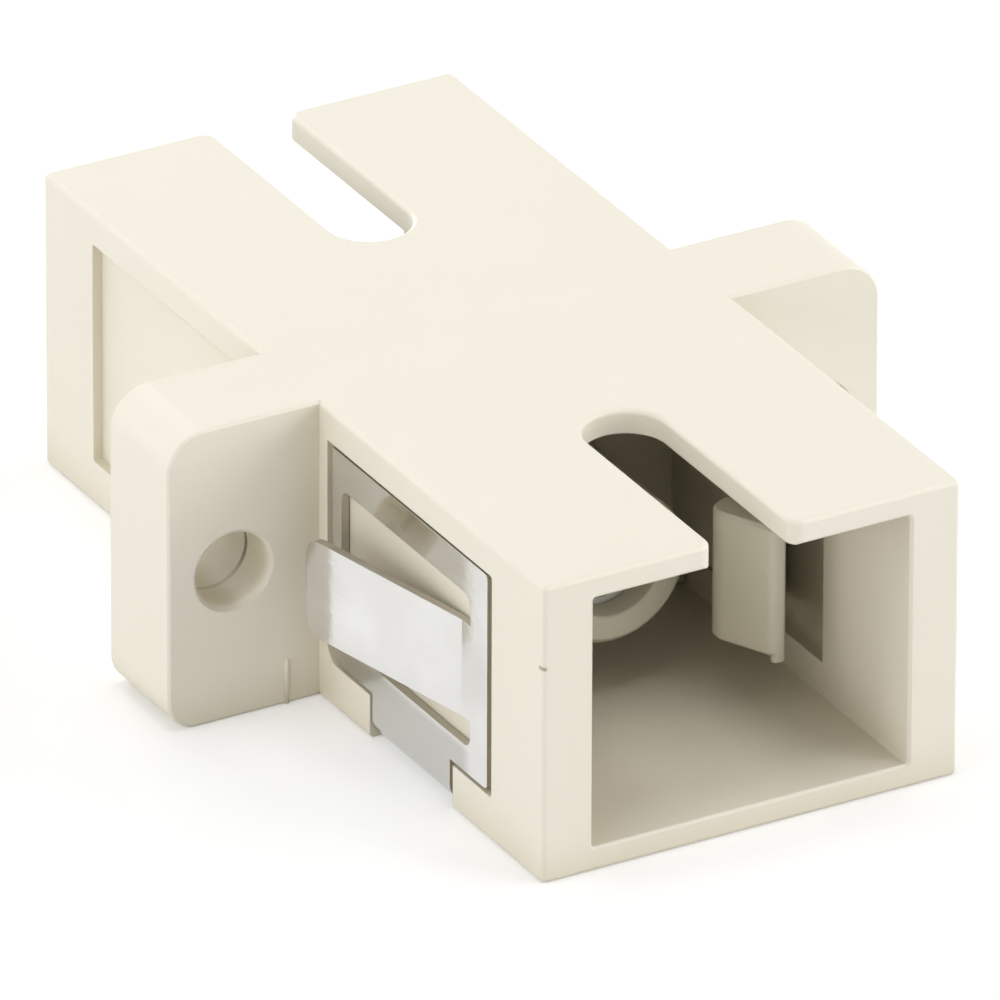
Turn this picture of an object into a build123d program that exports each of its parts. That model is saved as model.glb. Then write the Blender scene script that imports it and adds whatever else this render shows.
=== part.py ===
from build123d import *
import os

# Fibre optic coupler: a panel-mount adaptor that joins two square push-pull plugs end to end.
# Millimetres. X runs across the two ears, Y along the plug axis with the clip at the -Y end,
# Z up with the key slots on top. The origin is on the plug axis, half way along the body.

# Housing, outside
BODY_WIDTH = 12.75
BODY_HEIGHT = 8.9
BODY_LENGTH = 27.8
BODY_EDGE_RADIUS = 0.14
FLANGE_WIDTH = 22.0
FLANGE_THICKNESS = 3.3
FLANGE_TOP_RADIUS = 1.15
FLANGE_LOW_RADIUS = 0.9
FLANGE_EDGE_BEVEL = 0.07
SCREW_END_DISTANCE = 2.0
SCREW_HOLE_RADIUS = 1.12
SCREW_HOLE_BEVEL = 0.08

# Housing, plug ports
PORT_WIDTH = 9.7
PORT_HEIGHT = 7.5
PORT_CORNER_RADIUS = 0.1
MOUTH_BEVEL = 0.08
KEY_SLOT_WIDTH = 2.4
KEY_SLOT_LENGTH = 8.0
KEY_SLOT_MOUTH_RADIUS = 0.4
WEB_THICKNESS = 1.0
ARM_POCKET_START = 4.6
ARM_POCKET_DEPTH = 0.55
ARM_POCKET_HEIGHT = 5.6
ARM_POCKET_RADIUS = 0.3
RIDGE_HEIGHT = 0.15
RIDGE_LENGTH = 0.5
RIDGE_GAP = 0.03

# Clip seat: side recesses on both halves, channel under the front half
RECESS_DEPTH = 0.28
RECESS_START = 2.8
RECESS_FLANGE_MARGIN = 0.45
RECESS_TOP = 3.5
RECESS_BOTTOM = -3.15
RECESS_CORNER_RADIUS = 0.55
RECESS_FRONT_RADIUS = 0.1

# Latch inserts
INSERT_CLEARANCE = 0.06
INSERT_BASE_THICKNESS = 1.5
HOLDER_RADIUS = 2.22
HOLDER_EDGE_BEVEL = 0.15
SPIGOT_GAP = 0.05
LIP_THICKNESS = 0.8
LIP_HOLE_RADIUS = 1.41
LIP_LEAD_IN = 0.05
ARM_THICKNESS = 0.85
ARM_POCKET_GAP = 0.2
ARM_HEIGHT = 4.3
HOOK_HEIGHT = 3.9
HOOK_TIP_DEPTH = 4.1
HOOK_PEAK_DEPTH = 6.2
HOOK_SHOULDER_DEPTH = 7.2
HOOK_REACH = 2.42
HOOK_CATCH_SLOPE = 0.6
HOOK_NOSE_THICKNESS = 0.4
HOOK_RAMP_RISE = 1.05
HOOK_NOSE_RADIUS = 0.14
HOOK_RAMP_RADIUS = 0.3
HOOK_PEAK_RADIUS = 0.6
HOOK_EDGE_BEVEL = 0.1

# Alignment sleeve
SLEEVE_BORE_RADIUS = 1.25
SLEEVE_WALL = 0.35
SLEEVE_LENGTH = 11.4
SLEEVE_SLIT = 0.5
SLEEVE_RADIAL_GAP = 0.1
SLEEVE_END_GAP = 0.05

# Mounting clip
SHEET = 0.24
CLIP_EDGE_GAP = 0.1
CLIP_CORNER_RADIUS = 0.15
CLIP_FRONT_GAP = 0.28
CLIP_REAR_GAP = 0.25
CLIP_SEAT_GAP = 0.02
STRAP_WIDTH = 4.25
STRAP_START = 5.1
STRAP_BEND_RADIUS = 0.5
STRAP_SIDE_GAP = 0.2
WINDOW_START = 4.0
WINDOW_REAR_FRAME = 0.5
WINDOW_TOP = 2.35
WINDOW_BOTTOM = -2.25
WINDOW_RADIUS = 0.35
TONGUE_HEIGHT = 2.9
TONGUE_HINGE = 4.5
TONGUE_BEND_RADIUS = 0.5
TONGUE_LENGTH = 6.15
TONGUE_RISE = 1.32
TONGUE_CORNER_RADIUS = 0.5

# Worked out from the sizes above
HALF_LENGTH = BODY_LENGTH / 2
HALF_WIDTH = BODY_WIDTH / 2
HALF_HEIGHT = BODY_HEIGHT / 2
HALF_PORT = PORT_WIDTH / 2
FLANGE_FACE = FLANGE_THICKNESS / 2
SCREW_X = FLANGE_WIDTH / 2 - SCREW_END_DISTANCE
RECESS_REAR = FLANGE_FACE + RECESS_FLANGE_MARGIN
RECESS_FRONT = HALF_LENGTH - RECESS_START
STRAP_FRONT = HALF_LENGTH - STRAP_START
STRAP_REAR = STRAP_FRONT - STRAP_WIDTH
SLEEVE_RADIUS = SLEEVE_BORE_RADIUS + SLEEVE_WALL
HOLDER_BORE_RADIUS = SLEEVE_RADIUS + SLEEVE_RADIAL_GAP
HOLDER_END = SLEEVE_LENGTH / 2 + SLEEVE_END_GAP + LIP_THICKNESS
WEB_FACE = WEB_THICKNESS / 2
BASE_FACE = WEB_FACE + INSERT_BASE_THICKNESS
POCKET_WALL = HALF_PORT + ARM_POCKET_DEPTH
ARM_OUTER = POCKET_WALL - ARM_POCKET_GAP
ARM_INNER = ARM_OUTER - ARM_THICKNESS
HOOK_PEAK = ARM_INNER - HOOK_REACH
NOSE_INNER = HOOK_PEAK + HOOK_RAMP_RISE
NOSE_OUTER = NOSE_INNER + HOOK_NOSE_THICKNESS
PLATE_OUTER = HALF_WIDTH - RECESS_DEPTH + CLIP_SEAT_GAP + SHEET
PLATE_INNER = PLATE_OUTER - SHEET
KEY_SLOT_FLOOR = PORT_HEIGHT / 4
WEB_HOLE_RADIUS = HOLDER_RADIUS + INSERT_CLEARANCE
WINDOW_FRONT = -HALF_LENGTH + WINDOW_START
TONGUE_BEND = -HALF_LENGTH + TONGUE_HINGE

# How far a cut runs past the face it opens, and the smallest length that counts
OVERRUN = 1.0
TINY = 0.001


def block(x_low, x_high, y_low, y_high, z_low, z_high):
    """A rectangular block between two corners."""
    size = (x_high - x_low, y_high - y_low, z_high - z_low)
    centre = ((x_low + x_high) / 2, (y_low + y_high) / 2, (z_low + z_high) / 2)
    return Pos(*centre) * Box(*size)


def along_y(sketch, y_low, y_high):
    """A sketch drawn in X and Z, extruded between two places along the plug axis."""
    return Pos(0, y_high, 0) * extrude(Plane.XZ * sketch, y_high - y_low)


def both_ends(shape):
    """A shape and its mirror image at the other end of the body."""
    return [shape, mirror(shape, about=Plane.XZ)]


def both_sides(shape):
    """A shape and its mirror image on the other side of the body."""
    return [shape, mirror(shape, about=Plane.YZ)]


def flange_profile():
    """The flange seen along the plug axis, with its upper corners rounder than its lower ones."""
    outline = Rectangle(FLANGE_WIDTH, BODY_HEIGHT)
    upper = outline.vertices().group_by(Axis.Y)[-1]
    outline = fillet(upper, FLANGE_TOP_RADIUS)
    lower = outline.vertices().group_by(Axis.Y)[0]
    return fillet(lower, FLANGE_LOW_RADIUS)


def housing_shell():
    """The body block and the flange with softened outer edges."""
    body = Box(BODY_WIDTH, BODY_LENGTH, BODY_HEIGHT)
    for slot in both_ends(key_slot_cut()):
        body -= slot
    mouth_corners = body.edges().filter_by(Axis.Z).filter_by(lambda edge: abs(edge.center().X) < HALF_PORT)
    body = fillet(mouth_corners, KEY_SLOT_MOUTH_RADIUS)
    soft = body.edges().filter_by(lambda edge: edge.center().Z != KEY_SLOT_FLOOR)
    body = fillet(soft, BODY_EDGE_RADIUS)
    flange = along_y(flange_profile(), -FLANGE_FACE, FLANGE_FACE)
    rims = flange.edges().filter_by(lambda edge: edge.bounding_box().size.Y < TINY)
    return body + chamfer(rims, FLANGE_EDGE_BEVEL)


def port_cut():
    """One plug port from the web out through the mouth, with its bevelled rim."""
    section = RectangleRounded(PORT_WIDTH, PORT_HEIGHT, PORT_CORNER_RADIUS)
    tunnel = along_y(section, -HALF_LENGTH - OVERRUN, -WEB_FACE)
    rim_outer = RectangleRounded(PORT_WIDTH + 2 * MOUTH_BEVEL, PORT_HEIGHT + 2 * MOUTH_BEVEL,
                                 PORT_CORNER_RADIUS + MOUTH_BEVEL)
    bevel = loft([Plane.XZ.offset(HALF_LENGTH) * rim_outer,
                  Plane.XZ.offset(HALF_LENGTH - MOUTH_BEVEL) * section])
    return tunnel + bevel


def key_slot_cut():
    """One key slot in the top wall, with parallel sides and a round inner end."""
    slot_end = HALF_LENGTH - KEY_SLOT_LENGTH + KEY_SLOT_WIDTH / 2
    run = HALF_LENGTH + OVERRUN - slot_end
    outline = Pos(0, -slot_end - run / 2) * Rectangle(KEY_SLOT_WIDTH, run)
    outline += Pos(0, -slot_end) * Circle(KEY_SLOT_WIDTH / 2)
    return Pos(0, 0, KEY_SLOT_FLOOR) * extrude(outline, HALF_HEIGHT)


def arm_pocket_cut():
    """The pocket in one side wall that a latch arm bends into."""
    outline = RectangleRounded(2 * POCKET_WALL, ARM_POCKET_HEIGHT, ARM_POCKET_RADIUS)
    return along_y(outline, -HALF_LENGTH + ARM_POCKET_START, -WEB_FACE)


def retaining_ridges():
    """Low ridges in the front pockets, clear of the arms, that an insert's base snaps past."""
    rear = -BASE_FACE - RIDGE_GAP
    ridge = block(POCKET_WALL - RIDGE_HEIGHT, POCKET_WALL + RIDGE_HEIGHT, rear - RIDGE_LENGTH, rear,
                  ARM_HEIGHT / 2 + ARM_POCKET_GAP, ARM_POCKET_HEIGHT / 2)
    upper = both_sides(ridge)
    return upper + [mirror(ridge, about=Plane.XY) for ridge in upper]


def recess_outline(y_front, y_rear, edge_gap, corner_radius):
    """The side recess in Y and Z, or a plate inside it, with its rounder lower rear corner."""
    z_low = RECESS_BOTTOM + edge_gap
    z_high = RECESS_TOP - edge_gap
    outline = Rectangle(y_rear - y_front, z_high - z_low)
    rear_pair = outline.vertices().group_by(Axis.X)[-1]
    lower_rear = rear_pair.sort_by(Axis.Y)[0]
    outline = fillet(lower_rear, RECESS_CORNER_RADIUS)
    front_pair = outline.vertices().group_by(Axis.X)[0]
    outline = fillet(front_pair, corner_radius)
    return Pos((y_front + y_rear) / 2, (z_low + z_high) / 2) * outline


def recess_cut():
    """The shallow recess in one side wall where a clip's side plate lies."""
    outline = recess_outline(-RECESS_FRONT, -RECESS_REAR, 0, RECESS_FRONT_RADIUS)
    return extrude(Plane.YZ.offset(HALF_WIDTH - RECESS_DEPTH) * outline, RECESS_DEPTH + OVERRUN)


def strap_channel_cut():
    """The channel that takes the clip's strap down both sides and under the body."""
    y_low = -STRAP_FRONT - STRAP_SIDE_GAP
    y_high = -STRAP_REAR + CLIP_EDGE_GAP
    outside = block(-HALF_WIDTH - OVERRUN, HALF_WIDTH + OVERRUN, y_low, y_high,
                    -HALF_HEIGHT - OVERRUN, RECESS_BOTTOM + RECESS_CORNER_RADIUS)
    core = block(-HALF_WIDTH + RECESS_DEPTH, HALF_WIDTH - RECESS_DEPTH, y_low, y_high,
                 -HALF_HEIGHT + RECESS_DEPTH, HALF_HEIGHT)
    lower = core.edges().filter_by(Axis.Y).group_by(Axis.Z)[0]
    core = fillet(lower, STRAP_BEND_RADIUS - SHEET / 2)
    return outside - core


def screw_hole_cut(x):
    """One screw hole through an ear, bevelled at both faces."""
    hole = Pos(x, 0, 0) * Rot(90, 0, 0) * Cylinder(SCREW_HOLE_RADIUS, FLANGE_THICKNESS + OVERRUN)
    bevel = Cone(SCREW_HOLE_RADIUS, SCREW_HOLE_RADIUS + SCREW_HOLE_BEVEL, SCREW_HOLE_BEVEL)
    seat = Pos(x, -FLANGE_FACE + SCREW_HOLE_BEVEL / 2, 0) * Rot(90, 0, 0) * bevel
    return [hole] + both_ends(seat)


def make_housing():
    """The one-piece moulded housing."""
    body = housing_shell()
    for cut in both_ends(port_cut()) + both_ends(arm_pocket_cut()):
        body -= cut
    for ridge in retaining_ridges():
        for copy in both_ends(ridge):
            body += copy
    for side in both_sides(recess_cut()):
        for cut in both_ends(side):
            body -= cut
    body -= strap_channel_cut()
    body -= Rot(90, 0, 0) * Cylinder(WEB_HOLE_RADIUS, WEB_THICKNESS + OVERRUN)
    for x in (-SCREW_X, SCREW_X):
        for cut in screw_hole_cut(x):
            body -= cut
    return body


def hook_arm():
    """One latch arm of the front insert on the +X side: a bar that leans in to a nose, and a ramp on it."""
    tip = -HALF_LENGTH + HOOK_TIP_DEPTH
    peak = -HALF_LENGTH + HOOK_PEAK_DEPTH
    root = -BASE_FACE + INSERT_BASE_THICKNESS / 2
    shoulder = -HALF_LENGTH + HOOK_SHOULDER_DEPTH
    bar = Polygon((ARM_OUTER, root), (ARM_OUTER, shoulder), (NOSE_OUTER, tip), (NOSE_INNER, tip),
                  (ARM_INNER, shoulder), (ARM_INNER, root), align=None)
    bar = fillet(bar.vertices().group_by(Axis.Y)[0], HOOK_NOSE_RADIUS)
    wedge = Polygon((NOSE_OUTER - HOOK_NOSE_RADIUS, tip), (NOSE_INNER, tip), (HOOK_PEAK, peak),
                    (ARM_INNER, peak + HOOK_CATCH_SLOPE), (ARM_INNER, peak), align=None)
    wedge = fillet(wedge.vertices().sort_by(Axis.X)[0], HOOK_PEAK_RADIUS)
    ramp_start = wedge.vertices().group_by(Axis.Y)[0].sort_by(Axis.X)[0]
    wedge = fillet(ramp_start, HOOK_RAMP_RADIUS)
    hook = extrude(wedge, HOOK_HEIGHT / 2, both=True)
    rims = hook.edges().filter_by(lambda edge: edge.center().Y < peak and is_level(edge))
    return extrude(bar, ARM_HEIGHT / 2, both=True) + chamfer(rims, HOOK_EDGE_BEVEL)


def is_level(edge):
    """True for an edge that keeps one height and isn't on the plug axis."""
    return edge.bounding_box().size.Z < TINY and abs(edge.center().Z) > TINY


def make_latch_insert():
    """The front latch insert: base plate, half of the sleeve holder and two latch arms."""
    plate = RectangleRounded(PORT_WIDTH - 2 * INSERT_CLEARANCE, PORT_HEIGHT - 2 * INSERT_CLEARANCE,
                             PORT_CORNER_RADIUS)
    tabs = RectangleRounded(2 * (POCKET_WALL - INSERT_CLEARANCE),
                            ARM_POCKET_HEIGHT - 2 * INSERT_CLEARANCE, ARM_POCKET_RADIUS)
    insert = along_y(plate + tabs, -BASE_FACE, -WEB_FACE)
    insert += along_y(Circle(HOLDER_RADIUS), -HOLDER_END, -SPIGOT_GAP)
    rim = insert.edges().filter_by(GeomType.CIRCLE).sort_by(Axis.Y)[0]
    insert = chamfer(rim, HOLDER_EDGE_BEVEL)
    for arm in both_sides(hook_arm()):
        insert += arm
    return insert - holder_bore()


def holder_bore():
    """The stepped bore of half the sleeve holder, with the lip that keeps the sleeve in."""
    lip_face = -HOLDER_END + LIP_THICKNESS
    mouth_radius = LIP_HOLE_RADIUS + LIP_LEAD_IN
    section = Polygon((0, 0), (HOLDER_BORE_RADIUS, 0), (HOLDER_BORE_RADIUS, lip_face),
                      (LIP_HOLE_RADIUS, lip_face), (LIP_HOLE_RADIUS, -HOLDER_END + LIP_LEAD_IN),
                      (mouth_radius, -HOLDER_END), (0, -HOLDER_END), align=None)
    return revolve(section, Axis.Y)


def make_alignment_sleeve():
    """The split sleeve: a thin tube with one slit along its length, facing up."""
    ring = Circle(SLEEVE_RADIUS) - Circle(SLEEVE_BORE_RADIUS)
    ring -= Pos(0, SLEEVE_RADIUS) * Rectangle(SLEEVE_SLIT, 2 * SLEEVE_RADIUS)
    return along_y(ring, -SLEEVE_LENGTH / 2, SLEEVE_LENGTH / 2)


def bent_sheet(points, bend_radius):
    """The section of a sheet that follows a path of straight runs with round bends."""
    return trace(FilletPolyline(*points, radius=bend_radius), SHEET)


def side_plate():
    """One side plate of the clip, flat in its recess, with the window cut out."""
    y_front = -RECESS_FRONT + CLIP_FRONT_GAP
    y_rear = -RECESS_REAR - CLIP_REAR_GAP
    outline = recess_outline(y_front, y_rear, CLIP_EDGE_GAP, CLIP_CORNER_RADIUS)
    window_rear = y_rear - WINDOW_REAR_FRAME
    window = RectangleRounded(window_rear - WINDOW_FRONT, WINDOW_TOP - WINDOW_BOTTOM, WINDOW_RADIUS)
    window = Pos((WINDOW_FRONT + window_rear) / 2, (WINDOW_TOP + WINDOW_BOTTOM) / 2) * window
    return extrude(Plane.YZ.offset(PLATE_INNER) * (outline - window), SHEET)


def tongue():
    """One springy tongue: its root fills the window's front end, the rest is bent outwards."""
    mid = PLATE_OUTER - SHEET / 2
    tip_y = TONGUE_BEND + TONGUE_LENGTH
    path = [(mid, WINDOW_FRONT - SHEET), (mid, TONGUE_BEND), (mid + TONGUE_RISE, tip_y)]
    blade = extrude(bent_sheet(path, TONGUE_BEND_RADIUS), TONGUE_HEIGHT / 2, both=True)
    corners = blade.edges().filter_by(lambda edge: edge.center().Y > tip_y - SHEET and is_thin(edge))
    return fillet(corners, TONGUE_CORNER_RADIUS)


def is_thin(edge):
    """True for an edge that runs through the thickness of the sheet."""
    return abs(edge.length - SHEET) < TINY


def strap():
    """The strap that joins the two side plates under the body, with rounded bends."""
    side = PLATE_OUTER - SHEET / 2
    z_top = RECESS_BOTTOM + CLIP_EDGE_GAP + RECESS_CORNER_RADIUS
    z_low = -HALF_HEIGHT + RECESS_DEPTH - CLIP_SEAT_GAP - SHEET / 2
    path = [(-side, z_top), (-side, z_low), (side, z_low), (side, z_top)]
    return along_y(bent_sheet(path, STRAP_BEND_RADIUS), -STRAP_FRONT, -STRAP_REAR)


def make_mounting_clip():
    """The folded spring clip: strap, two side plates and two tongues in one sheet."""
    clip = strap()
    for shape in both_sides(side_plate()) + both_sides(tongue()):
        clip += shape
    return clip


def main():
    os.makedirs("parts", exist_ok=True)
    front_insert = make_latch_insert()
    nodes = {
        "housing": make_housing(),
        "front_latch_insert": front_insert,
        "rear_latch_insert": mirror(front_insert, about=Plane.XZ),
        "alignment_sleeve": make_alignment_sleeve(),
        "mounting_clip": make_mounting_clip(),
    }
    for name, shape in nodes.items():
        export_step(shape, os.path.join("parts", name + ".step"))


main()
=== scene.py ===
import bpy
import math
from mathutils import Matrix, Vector


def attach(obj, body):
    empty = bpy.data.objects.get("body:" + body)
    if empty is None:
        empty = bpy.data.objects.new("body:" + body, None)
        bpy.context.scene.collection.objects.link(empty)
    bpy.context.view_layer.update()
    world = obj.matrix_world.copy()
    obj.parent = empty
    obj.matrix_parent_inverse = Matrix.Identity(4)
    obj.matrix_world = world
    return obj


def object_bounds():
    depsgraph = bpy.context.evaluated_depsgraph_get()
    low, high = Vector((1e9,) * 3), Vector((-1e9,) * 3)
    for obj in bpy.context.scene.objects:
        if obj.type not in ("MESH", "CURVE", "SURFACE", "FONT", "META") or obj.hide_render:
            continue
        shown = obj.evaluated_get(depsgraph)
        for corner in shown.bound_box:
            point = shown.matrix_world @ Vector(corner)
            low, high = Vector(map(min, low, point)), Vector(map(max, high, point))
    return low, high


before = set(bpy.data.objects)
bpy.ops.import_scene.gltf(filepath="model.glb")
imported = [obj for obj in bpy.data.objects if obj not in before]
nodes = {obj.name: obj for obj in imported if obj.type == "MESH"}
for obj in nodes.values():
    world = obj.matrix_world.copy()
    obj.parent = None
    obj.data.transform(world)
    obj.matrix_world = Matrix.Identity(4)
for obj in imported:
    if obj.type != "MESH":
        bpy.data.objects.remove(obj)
cad_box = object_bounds()
MM = 0.001
WHITE = (1.0, 1.0, 1.0, 1.0)


# Shader helpers

def seen_straight(tree):
    """1 where the camera, a reflection or a look through glass sees a surface, 0 for its light."""
    path = tree.nodes.new("ShaderNodeLightPath")
    seen = path.outputs["Is Camera Ray"]
    for kind in ("Is Glossy Ray", "Is Transmission Ray"):
        either = tree.nodes.new("ShaderNodeMath")
        either.operation = "MAXIMUM"
        tree.links.new(seen, either.inputs[0])
        tree.links.new(path.outputs[kind], either.inputs[1])
        seen = either.outputs["Value"]
    return seen


class Graph:
    """A material's node tree, with one call for each node that is added."""

    NOISE_LOW = 0.3
    NOISE_HIGH = 0.7

    def __init__(self, name):
        self.material = bpy.data.materials.new(name)
        self.material.use_nodes = True
        self.tree = self.material.node_tree
        self.tree.nodes.clear()
        self.output = self.tree.nodes.new("ShaderNodeOutputMaterial")
        self.coordinates = self.tree.nodes.new("ShaderNodeTexCoord").outputs["Object"]

    def link(self, source, target):
        self.tree.links.new(source, target)

    def put(self, value, socket):
        """A number, colour or vector is set on the socket, and an output is linked to it."""
        if hasattr(value, "is_output"):
            self.link(value, socket)
        else:
            socket.default_value = value

    def surface(self, shader):
        self.link(shader, self.output.inputs["Surface"])

    def principled(self, **values):
        node = self.tree.nodes.new("ShaderNodeBsdfPrincipled")
        for key, value in values.items():
            self.put(value, node.inputs[key.replace("_", " ")])
        return node.outputs["BSDF"]

    def facing(self):
        """The parts of the surface's normal."""
        return self.parts(self.tree.nodes.new("ShaderNodeNewGeometry").outputs["Normal"])

    def along_y(self, share):
        """The coordinates with Y scaled down, so that what is drawn on them runs along Y."""
        node = self.tree.nodes.new("ShaderNodeVectorMath")
        node.operation = "MULTIPLY"
        self.link(self.coordinates, node.inputs[0])
        node.inputs[1].default_value = (1.0, share, 1.0)
        return node.outputs["Vector"]

    def noise(self, size, detail, roughness=0.5, vector=None):
        """Noise whose grain is about size metres across."""
        node = self.tree.nodes.new("ShaderNodeTexNoise")
        self.link(vector or self.coordinates, node.inputs["Vector"])
        node.inputs["Scale"].default_value = 1.0 / size
        node.inputs["Detail"].default_value = detail
        node.inputs["Roughness"].default_value = roughness
        return node.outputs["Fac"]

    def math(self, operation, *values):
        node = self.tree.nodes.new("ShaderNodeMath")
        node.operation = operation
        for value, socket in zip(values, node.inputs):
            self.put(value, socket)
        return node.outputs["Value"]

    def product(self, first, *others):
        """Several values multiplied."""
        for other in others:
            first = self.math("MULTIPLY", first, other)
        return first

    def span(self, value, low, high, to_low=0.0, to_high=1.0, smooth=False):
        """A value between low and high, mapped on to another range and held there."""
        node = self.tree.nodes.new("ShaderNodeMapRange")
        node.interpolation_type = "SMOOTHSTEP" if smooth else "LINEAR"
        self.put(value, node.inputs["Value"])
        node.inputs["From Min"].default_value = low
        node.inputs["From Max"].default_value = high
        node.inputs["To Min"].default_value = to_low
        node.inputs["To Max"].default_value = to_high
        return node.outputs["Result"]

    def below(self, value, low, high, smooth=False):
        """1 under low, 0 over high."""
        return self.span(value, low, high, 1.0, 0.0, smooth)

    def near(self, value, middle, low, high):
        """1 within low of the middle, 0 further than high from it."""
        return self.below(self.math("ABSOLUTE", self.math("SUBTRACT", value, middle)), low, high)

    def swing(self, noise, to_low=0.0, to_high=1.0):
        """The middle of a noise's range, mapped on to another range."""
        return self.span(noise, self.NOISE_LOW, self.NOISE_HIGH, to_low, to_high)

    def parts(self, vector):
        node = self.tree.nodes.new("ShaderNodeSeparateXYZ")
        self.link(vector, node.inputs["Vector"])
        return node.outputs["X"], node.outputs["Y"], node.outputs["Z"]

    def joined(self, x, y, z):
        node = self.tree.nodes.new("ShaderNodeCombineXYZ")
        for value, socket in zip((x, y, z), node.inputs):
            self.put(value, socket)
        return node.outputs["Vector"]

    def blend(self, factor, one, two):
        """Two colours mixed by a factor."""
        node = self.tree.nodes.new("ShaderNodeMix")
        node.data_type = "RGBA"
        self.put(factor, node.inputs["Factor"])
        self.put(one, node.inputs["A"])
        self.put(two, node.inputs["B"])
        return node.outputs["Result"]

    def bevel(self, radius):
        """The normal of an edge softened by a small radius."""
        node = self.tree.nodes.new("ShaderNodeBevel")
        node.samples = 1
        node.inputs["Radius"].default_value = radius
        return node.outputs["Normal"]

    def crevice(self, distance):
        """1 in the open, falling towards 0 where other surfaces stand within a distance."""
        node = self.tree.nodes.new("ShaderNodeAmbientOcclusion")
        node.samples = 1
        node.inputs["Distance"].default_value = distance
        return node.outputs["AO"]

    def bump(self, height, distance, normal=None):
        node = self.tree.nodes.new("ShaderNodeBump")
        self.link(height, node.inputs["Height"])
        node.inputs["Distance"].default_value = distance
        if normal:
            self.link(normal, node.inputs["Normal"])
        return node.outputs["Normal"]

    def leaned(self, normal, lean):
        """A normal leaned by a vector that is given along the object's own axes."""
        turn = self.tree.nodes.new("ShaderNodeVectorTransform")
        turn.vector_type = "VECTOR"
        turn.convert_from = "OBJECT"
        turn.convert_to = "WORLD"
        self.link(lean, turn.inputs["Vector"])
        total = self.tree.nodes.new("ShaderNodeVectorMath")
        total.operation = "ADD"
        self.link(normal, total.inputs[0])
        self.link(turn.outputs["Vector"], total.inputs[1])
        unit = self.tree.nodes.new("ShaderNodeVectorMath")
        unit.operation = "NORMALIZE"
        self.link(total.outputs["Vector"], unit.inputs[0])
        return unit.outputs["Vector"]


# Plastics

CLOUD_SIZE = 7.0 * MM
SINK_SIZE = 3.2 * MM
SINK_HEIGHT = 0.012 * MM
GRAIN_SIZE = 0.045 * MM
GRAIN_HEIGHT = 0.0016 * MM
GLOSS_SIZE = 1.4 * MM
GLOSS_SWING = 0.05
PLASTIC_IOR = 1.5
STAIN = (0.15, 0.115, 0.05, 1.0)

CREAM = {
    "colour": (0.848, 0.802, 0.69, 1.0),
    "shade": (0.838, 0.79, 0.674, 1.0),
    # Painted shade: the colour, reach and greatest share of the darkening painted into crevices
    "painted_shade_colour": (0.48, 0.41, 0.23, 1.0),
    "painted_shade_reach": 1.5 * MM,
    "painted_shade_most": 0.5,
    "roughness": 0.42,
    "softness": 0.05 * MM,
}
BEIGE = {
    "colour": (0.705, 0.668, 0.545, 1.0),
    "shade": (0.69, 0.652, 0.526, 1.0),
    # Painted shade: the colour, reach and greatest share of the darkening painted into crevices
    "painted_shade_colour": (0.2, 0.17, 0.09, 1.0),
    "painted_shade_reach": 2.4 * MM,
    "painted_shade_most": 0.7,
    "roughness": 0.36,
    "softness": 0.1 * MM,
}


def moulded_plastic(name, look, marks_and_hole_shade=None):
    """Satin moulded plastic: fine eroded grain, faint flow clouds and softened edges, with painted shade
    darkening the crevices.
    """
    g = Graph(name)
    tint = g.blend(g.swing(g.noise(CLOUD_SIZE, detail=3.0)), look["shade"], look["colour"])
    # Painted shade: the colour is pulled towards a dark colour where other surfaces stand near, in corners,
    # creases and recesses
    crevice = g.span(g.crevice(look["painted_shade_reach"]), 0.0, 1.0, look["painted_shade_most"], 0.0)
    tint = g.blend(crevice, tint, look["painted_shade_colour"])
    gloss = g.swing(g.noise(GLOSS_SIZE, detail=3.0), look["roughness"] - GLOSS_SWING,
                    look["roughness"] + GLOSS_SWING)
    normal = g.bump(g.noise(SINK_SIZE, detail=1.0), SINK_HEIGHT, g.bevel(look["softness"]))
    normal = g.bump(g.noise(GRAIN_SIZE, detail=2.0, roughness=0.6), GRAIN_HEIGHT, normal)
    if marks_and_hole_shade:
        lean, shadow, stain = marks_and_hole_shade(g)
        normal = g.leaned(normal, lean)
        # Painted shade inside the screw holes
        tint = g.blend(shadow, tint, look["painted_shade_colour"])
        tint = g.blend(stain, tint, STAIN)
    g.surface(g.principled(Base_Color=tint, Roughness=gloss, Normal=normal, IOR=PLASTIC_IOR))
    return g.material


# Each pair says where a mark begins to come in or fade, and where that ends
SCREW_ASIDE = 9.0 * MM
RIM_INNER = (1.1 * MM, 1.13 * MM)
RIM_OUTER = (1.17 * MM, 1.25 * MM)
RIM_FRONT = (-1.6 * MM, -1.5 * MM)
RIM_LEAN = 1.1
HOLE_RADIUS = (1.3 * MM, 1.4 * MM)
HOLE_FRONT = (-1.6 * MM, -1.3 * MM)
HOLE_SHADOW = 0.3
SPLIT_Y = -0.3 * MM
SPLIT_HALF = (0.05 * MM, 0.1 * MM)
SPLIT_HEIGHT = (-1.0 * MM, -0.4 * MM)
SPLIT_STAIN = (0.3, 0.95)
NICK_Z = 2.0 * MM
NICK_HALF = (0.04 * MM, 0.07 * MM)
NICK_FRONT = (-13.68 * MM, -13.62 * MM)
NICK_SIDE = (-6.3 * MM, -6.25 * MM)
NICK_STAIN = 0.6


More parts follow.
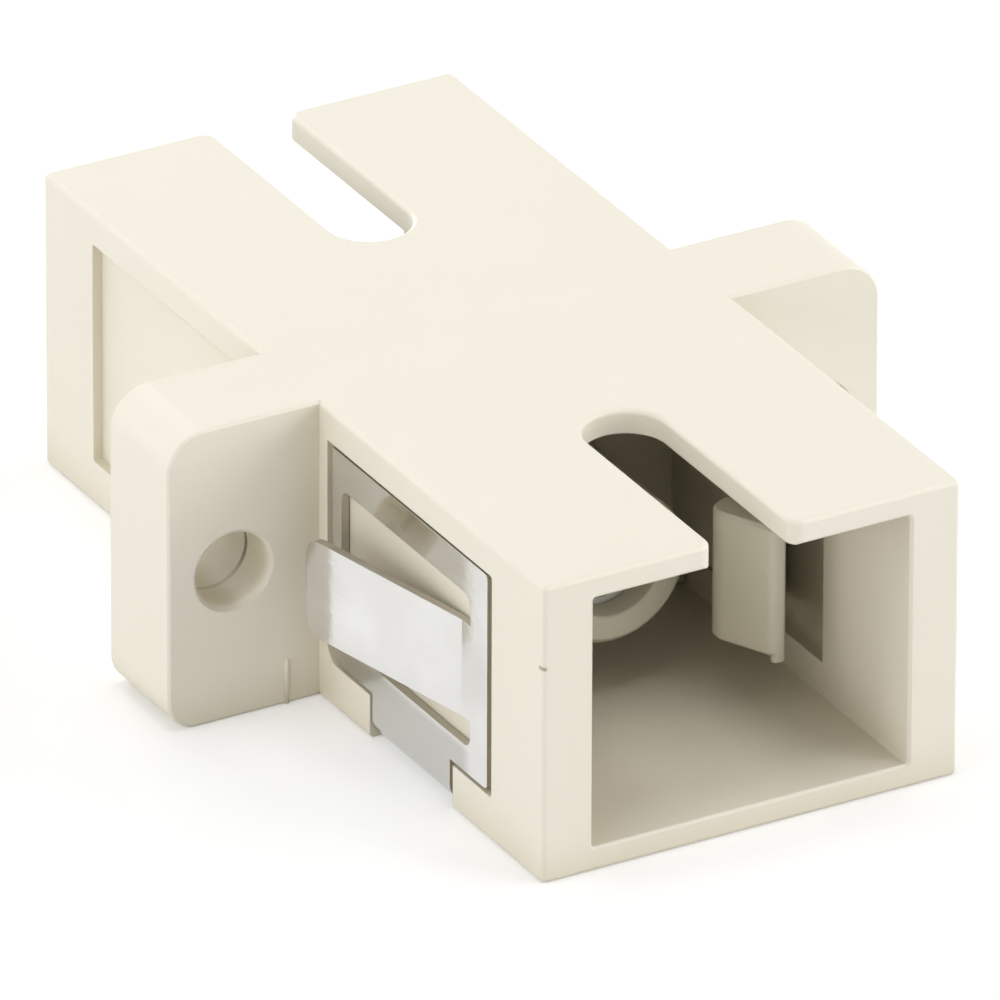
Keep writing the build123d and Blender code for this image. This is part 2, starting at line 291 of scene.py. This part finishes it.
def housing_marks_and_hole_shade(g):
    """The mould's own marks: soft hole rims, a split line in each hole and a nick on one edge, and also
    painted shade inside the screw holes.
    """
    x, y, z = g.parts(g.coordinates)
    from_axis = g.math("SUBTRACT", g.math("ABSOLUTE", x), SCREW_ASIDE)
    radius = g.math("SQRT", g.math("ADD", g.product(from_axis, from_axis), g.product(z, z)))

    rim = g.product(g.span(radius, *RIM_INNER), g.below(radius, *RIM_OUTER), g.below(y, *RIM_FRONT))
    rim = g.math("DIVIDE", g.product(rim, -RIM_LEAN), radius)
    lean = g.joined(g.product(g.math("SIGN", x), g.product(from_axis, rim)), 0.0, g.product(z, rim))

    # Painted shade inside the screw holes, blended towards the painted-shade colour
    in_hole = g.product(g.below(radius, *HOLE_RADIUS), g.span(y, *HOLE_FRONT))
    split = g.product(in_hole, g.near(y, SPLIT_Y, *SPLIT_HALF), g.span(z, *SPLIT_HEIGHT, *SPLIT_STAIN))
    nick = g.product(g.near(z, NICK_Z, *NICK_HALF), g.below(y, *NICK_FRONT), g.below(x, *NICK_SIDE))
    stain = g.math("MAXIMUM", split, g.product(nick, NICK_STAIN))
    return lean, g.product(in_hole, HOLE_SHADOW), stain


# Metal and ceramic

STEEL_LIGHT = (0.84, 0.84, 0.833, 1.0)
STEEL_DARK = (0.77, 0.765, 0.75, 1.0)
# Painted darker reflection colour for the lower bar and strap
STEEL_PAINTED_SHADE = (0.61, 0.605, 0.58, 1.0)
STEEL_CUT = (0.5, 0.47, 0.41, 1.0)
CUT_FACING = (0.6, 0.8)
ABOVE_STRAP = (-3.4 * MM, -3.3 * MM)
LOWER_BAR_TOP = (-2.5 * MM, -2.2 * MM)
LOWER_BAR_FRONT = (-10.0 * MM, -9.4 * MM)
STREAK_SIZE = 0.05 * MM
STREAK_SHARE = 0.03
STREAK_HEIGHT = 0.0004 * MM
WAVE_SIZE = 2.2 * MM
WAVE_HEIGHT = 0.012 * MM
STEEL_SOFTNESS = 0.035 * MM
STEEL_GLOSS = (0.06, 0.13)
DULL_ROUGHER = 0.12
CUT_ROUGHER = 0.25


def rolled_steel():
    """Bright rolled spring steel, with a rougher lower bar whose colour is darkened as a painted darker
    reflection, and browner, rougher sheared edges.
    """
    g = Graph("rolled_spring_steel")
    _, facing_y, facing_z = g.facing()
    _, y, z = g.parts(g.coordinates)
    ends = g.span(g.math("ABSOLUTE", facing_y), *CUT_FACING)
    sides = g.product(g.span(g.math("ABSOLUTE", facing_z), *CUT_FACING), g.span(z, *ABOVE_STRAP))
    cut = g.math("MAXIMUM", ends, sides)
    streaks = g.noise(STREAK_SIZE, detail=3.0, vector=g.along_y(STREAK_SHARE))
    waves = g.noise(WAVE_SIZE, detail=3.0)
    face = g.blend(g.swing(waves), STEEL_DARK, STEEL_LIGHT)
    # Painted reflection: the lower bar and strap are darkened as if reflecting the shaded floor beside the
    # body, and also made rougher
    dull_and_painted_shade = g.product(g.below(z, *LOWER_BAR_TOP, smooth=True), g.span(y, *LOWER_BAR_FRONT, smooth=True))
    colour = g.blend(cut, g.blend(dull_and_painted_shade, face, STEEL_PAINTED_SHADE), STEEL_CUT)
    roughness = g.math("ADD", g.swing(streaks, *STEEL_GLOSS), g.product(dull_and_painted_shade, DULL_ROUGHER))
    roughness = g.math("ADD", roughness, g.product(cut, CUT_ROUGHER))
    normal = g.bump(streaks, STREAK_HEIGHT, g.bevel(STEEL_SOFTNESS))
    normal = g.bump(waves, WAVE_HEIGHT, normal)
    g.surface(g.principled(Base_Color=colour, Metallic=1.0, Roughness=roughness, Normal=normal))
    return g.material


CERAMIC_LIGHT = (0.88, 0.87, 0.83, 1.0)
CERAMIC_DARK = (0.84, 0.83, 0.79, 1.0)
CERAMIC_CLOUD_SIZE = 1.2 * MM
CERAMIC_GLOSS = (0.16, 0.26)
CERAMIC_IOR = 2.1
LAPPING_SIZE = 0.03 * MM
LAPPING_SHARE = 0.05
LAPPING_HEIGHT = 0.0008 * MM


def polished_ceramic():
    """White ceramic, ground and polished, with fine lapping lines along the tube."""
    g = Graph("polished_white_ceramic")
    lines = g.noise(LAPPING_SIZE, detail=3.0, vector=g.along_y(LAPPING_SHARE))
    colour = g.blend(g.swing(g.noise(CERAMIC_CLOUD_SIZE, detail=3.0)), CERAMIC_DARK, CERAMIC_LIGHT)
    gloss = g.swing(lines, *CERAMIC_GLOSS)
    normal = g.bump(lines, LAPPING_HEIGHT)
    g.surface(g.principled(Base_Color=colour, Roughness=gloss, Normal=normal, IOR=CERAMIC_IOR))
    return g.material


housing_plastic = moulded_plastic("cream_moulded_plastic", CREAM, housing_marks_and_hole_shade)
insert_plastic = moulded_plastic("beige_moulded_plastic", BEIGE)
for node, material in (("housing", housing_plastic), ("front_latch_insert", insert_plastic),
                       ("rear_latch_insert", insert_plastic), ("alignment_sleeve", polished_ceramic()),
                       ("mounting_clip", rolled_steel())):
    for slot in nodes[node].material_slots:
        slot.material = material


# Flash ridges, one on each ear, part of the housing's moulding

FLANGE_FRONT = -1.65 * MM
FLASH_ASIDE = 7.38 * MM
FLASH_WIDTH = 0.15 * MM
FLASH_PROUD = 0.06 * MM
FLASH_SUNK = 0.03 * MM
FLASH_ARC = 10
# Height in millimetres, and the share of the full width and depth there
FLASH_LEVELS = ((-4.42, 1.0), (-3.3, 1.0), (-3.2, 0.92), (-3.13, 0.7), (-3.08, 0.3))


def flash_ridge(name, x):
    """A half-round ridge up the front of the flange that fades out at its top."""
    points = []
    for level, share in FLASH_LEVELS:
        half_width = 0.5 * FLASH_WIDTH * share
        for step in range(FLASH_ARC + 1):
            angle = math.pi * step / FLASH_ARC
            proud = FLASH_PROUD * share * math.sin(angle)
            points.append((x + half_width * math.cos(angle), FLANGE_FRONT - proud, level * MM))
        for side in (-1, 1):
            points.append((x + side * half_width, FLANGE_FRONT + FLASH_SUNK, level * MM))
    ring = FLASH_ARC + 3
    faces = [tuple(range(ring)), tuple(reversed(range(len(points) - ring, len(points))))]
    for level in range(len(FLASH_LEVELS) - 1):
        for step in range(ring):
            here, there = level * ring + step, level * ring + (step + 1) % ring
            faces.append((here, here + ring, there + ring, there))
    mesh = bpy.data.meshes.new(name)
    mesh.from_pydata(points, [], faces)
    mesh.update()
    for face in mesh.polygons:
        face.use_smooth = len(face.vertices) == 4
    ridge = bpy.data.objects.new(name, mesh)
    bpy.context.scene.collection.objects.link(ridge)
    mesh.materials.append(housing_plastic)
    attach(ridge, "root")


flash_ridge("flash_left", -FLASH_ASIDE)
flash_ridge("flash_right", FLASH_ASIDE)


# Floor

FLOOR_HALF = 0.5
FLOOR_COLOUR = (0.86, 0.86, 0.86, 1.0)
FLOOR_WHITENING = 0.215


def white_floor():
    """A matt white table that keeps the object's shadow, a little whiter where it is seen."""
    g = Graph("white_floor")
    diffuse = g.tree.nodes.new("ShaderNodeBsdfDiffuse")
    diffuse.inputs["Color"].default_value = FLOOR_COLOUR
    emission = g.tree.nodes.new("ShaderNodeEmission")
    emission.inputs["Color"].default_value = WHITE
    g.link(g.product(seen_straight(g.tree), FLOOR_WHITENING), emission.inputs["Strength"])
    both = g.tree.nodes.new("ShaderNodeAddShader")
    g.link(diffuse.outputs["BSDF"], both.inputs[0])
    g.link(emission.outputs["Emission"], both.inputs[1])
    g.surface(both.outputs["Shader"])
    return g.material


floor_z = cad_box[0][2]
mesh = bpy.data.meshes.new("floor")
mesh.from_pydata([(-FLOOR_HALF, -FLOOR_HALF, floor_z), (FLOOR_HALF, -FLOOR_HALF, floor_z),
                  (FLOOR_HALF, FLOOR_HALF, floor_z), (-FLOOR_HALF, FLOOR_HALF, floor_z)], [], [(0, 1, 2, 3)])
floor = bpy.data.objects.new("floor", mesh)
bpy.context.scene.collection.objects.link(floor)
floor.data.materials.append(white_floor())


# Light

LAMP_DISTANCE = 0.35
LAMP_SIDE = 0.22
LAMPS = (
    ("top", (0.0, 0.0, 1.0), 0.375),
    ("top_left", (-1.0, 0.1, 0.8), 0.35),
    ("top_right", (1.0, 0.0, 0.65), 0.4),
    ("left_low", (-1.0, -0.42, 0.1), 0.46),
    ("left_back", (-1.0, 1.0, 0.3), 0.155),
    ("front", (0.0, -1.0, 0.3), 0.06),
    ("front_right", (1.0, -1.0, 0.45), 0.62),
    ("back", (0.0, 1.0, 0.3), 0.61),
)
WORLD_LIGHT = 0.1


def softbox(name, direction, watts):
    """A square lamp out along a direction, turned towards the object."""
    light = bpy.data.lights.new(name, "AREA")
    light.shape = "RECTANGLE"
    light.size = LAMP_SIDE
    light.size_y = LAMP_SIDE
    light.energy = watts
    lamp = bpy.data.objects.new(name, light)
    bpy.context.scene.collection.objects.link(lamp)
    lamp.location = Vector(direction).normalized() * LAMP_DISTANCE
    lamp.rotation_euler = lamp.location.to_track_quat("Z", "Y").to_euler()


for lamp in LAMPS:
    softbox(*lamp)

world = bpy.data.worlds.new("studio")
bpy.context.scene.world = world
world.use_nodes = True
tree = world.node_tree
background = tree.nodes["Background"]
background.inputs["Color"].default_value = WHITE
strength = tree.nodes.new("ShaderNodeMath")
strength.operation = "MAXIMUM"
strength.inputs[1].default_value = WORLD_LIGHT
tree.links.new(seen_straight(tree), strength.inputs[0])
tree.links.new(strength.outputs["Value"], background.inputs["Strength"])


# Camera

AZIMUTH = math.radians(-29.441)
ELEVATION = math.radians(27.648)
ROLL = math.radians(0.199)
TARGET = Vector((-0.084, -0.375, -0.702)) * MM
DISTANCE = 645.28 * MM
SENSOR = 36.0
LENS = 858.8
CLIP_START = 0.01
CLIP_END = 10.0

back = Vector((math.sin(AZIMUTH) * math.cos(ELEVATION), -math.cos(AZIMUTH) * math.cos(ELEVATION),
               math.sin(ELEVATION)))
level_right = Vector((math.cos(AZIMUTH), math.sin(AZIMUTH), 0.0))
level_up = back.cross(level_right)
right = level_right * math.cos(ROLL) + level_up * math.sin(ROLL)
up = level_up * math.cos(ROLL) - level_right * math.sin(ROLL)
camera_data = bpy.data.cameras.new("camera")
camera_data.sensor_width = SENSOR
camera_data.lens = LENS
camera_data.clip_start = CLIP_START
camera_data.clip_end = CLIP_END
camera = bpy.data.objects.new("camera", camera_data)
bpy.context.scene.collection.objects.link(camera)
camera.matrix_world = (Matrix.Translation(TARGET + back * DISTANCE)
                       @ Matrix((right, up, back)).transposed().to_4x4())
bpy.context.scene.camera = camera
bpy.context.scene.view_settings.view_transform = "Standard"
